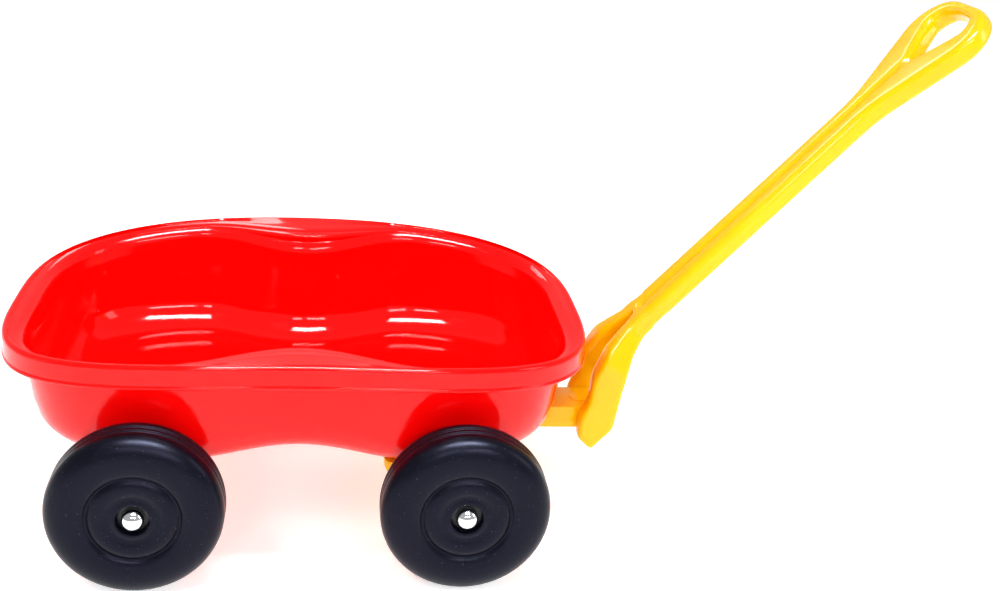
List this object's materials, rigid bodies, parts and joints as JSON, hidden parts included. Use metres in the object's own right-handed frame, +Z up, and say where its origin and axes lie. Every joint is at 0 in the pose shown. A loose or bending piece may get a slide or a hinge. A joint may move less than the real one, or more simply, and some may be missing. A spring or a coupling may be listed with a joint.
{
  "type": "toy pull wagon",
  "caption": "Small moulded toy wagon with a waisted open tub, free-spinning wheels, a swivelling front truck and a tilting loop-grip pull handle.",
  "frame": {"origin": "on the floor under the middle of the whole wagon's box, handle at rest", "axes": "+X forwards from the tub to the handle's grip, +Y to the wagon's left, +Z up"},
  "size_m": [0.6082, 0.2926, 0.3398],
  "materials": {
    "red_plastic": "glossy injection-moulded polypropylene",
    "yellow_plastic": "glossy moulded plastic",
    "wheel_plastic": "satin blow-moulded polyethylene with a fine grain",
    "bush_plastic": "plain moulded plastic",
    "washer_plastic": "natural nylon",
    "steel": "drawn bright steel",
    "chrome": "bright plated"
  },
  "bodies": {
    "chassis": {"tub": "red_plastic", "rear_axle_carrier": "yellow_plastic", "carrier_screws": "steel", "rear_axle": "steel", "kingpin_retainer": "steel", "kingpin_screw": "steel", "rear_left_axle_cap": "chrome", "rear_left_washer": "washer_plastic", "rear_right_axle_cap": "chrome", "rear_right_washer": "washer_plastic"},
    "steering_truck": {"front_truck": "yellow_plastic", "front_axle": "steel", "handle_pin": "steel", "front_left_axle_cap": "chrome", "front_left_washer": "washer_plastic", "front_right_axle_cap": "chrome", "front_right_washer": "washer_plastic"},
    "handle": {"pull_handle": "yellow_plastic"},
    "wheel_front_left": {"front_left_wheel": "wheel_plastic", "front_left_hub_bush": "bush_plastic"},
    "wheel_front_right": {"front_right_wheel": "wheel_plastic", "front_right_hub_bush": "bush_plastic"},
    "wheel_rear_left": {"rear_left_wheel": "wheel_plastic", "rear_left_hub_bush": "bush_plastic"},
    "wheel_rear_right": {"rear_right_wheel": "wheel_plastic", "rear_right_hub_bush": "bush_plastic"}
  },
  "joints": [
    {"name": "steer", "type": "hinge", "parent": "chassis", "child": "steering_truck", "pos_m": [-0.05208, 0, 0.052], "axis": [0, 0, 1], "range_deg": [-20, 20]},
    {"name": "handle_tilt", "type": "hinge", "parent": "steering_truck", "child": "handle", "pos_m": [0.07493, 0, 0.0491], "axis": [0, 1, 0], "range_deg": [-15, 57]},
    {"name": "front_left_spin", "type": "hinge", "parent": "steering_truck", "child": "wheel_front_left", "pos_m": [-0.02407, 0.12775, 0.05], "axis": [0, 1, 0], "continuous": true},
    {"name": "front_right_spin", "type": "hinge", "parent": "steering_truck", "child": "wheel_front_right", "pos_m": [-0.02407, -0.12775, 0.05], "axis": [0, 1, 0], "continuous": true},
    {"name": "rear_left_spin", "type": "hinge", "parent": "chassis", "child": "wheel_rear_left", "pos_m": [-0.21208, 0.12775, 0.05], "axis": [0, 1, 0], "continuous": true},
    {"name": "rear_right_spin", "type": "hinge", "parent": "chassis", "child": "wheel_rear_right", "pos_m": [-0.21208, -0.12775, 0.05], "axis": [0, 1, 0], "continuous": true}
  ]
}
